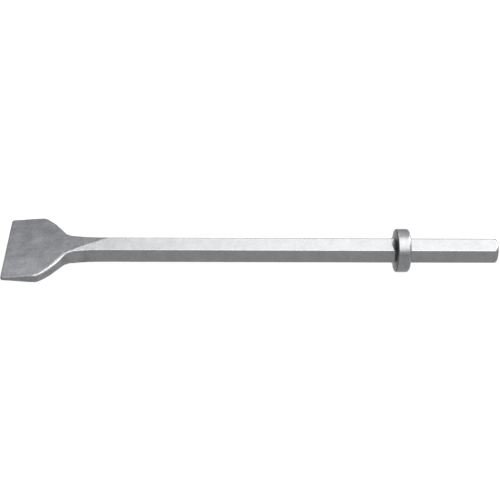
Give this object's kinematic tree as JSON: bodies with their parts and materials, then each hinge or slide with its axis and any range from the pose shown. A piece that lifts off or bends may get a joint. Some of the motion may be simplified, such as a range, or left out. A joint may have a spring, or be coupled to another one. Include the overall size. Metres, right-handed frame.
{
  "type": "wide chisel for a demolition hammer",
  "caption": "Forged steel chisel bit: a wide thin blade flaring from a long hexagon bar, with a round collar and a plain hexagon shank for a demolition hammer.",
  "frame": {"origin": "centre of the collar's seat face, on the tool's axis: the plane where the collar ends and the free shank begins", "axes": "+X along the axis towards the striking end of the shank, so the cutting edge is at -X; Y across the blade's width; +Z out of the upper broad face"},
  "size_m": [0.45, 0.1, 0.04],
  "materials": {
    "blade_steel": "forged and shot-blasted, satin",
    "bar_steel": "rolled bar, shot-blasted, satin",
    "collar_steel": "upset-forged, satin"
  },
  "bodies": {
    "root": {"cutting_edge": "blade_steel", "blade": "blade_steel", "neck": "bar_steel", "shaft": "bar_steel", "collar_flare": "collar_steel", "collar": "collar_steel", "shank": "bar_steel"}
  },
  "joints": []
}
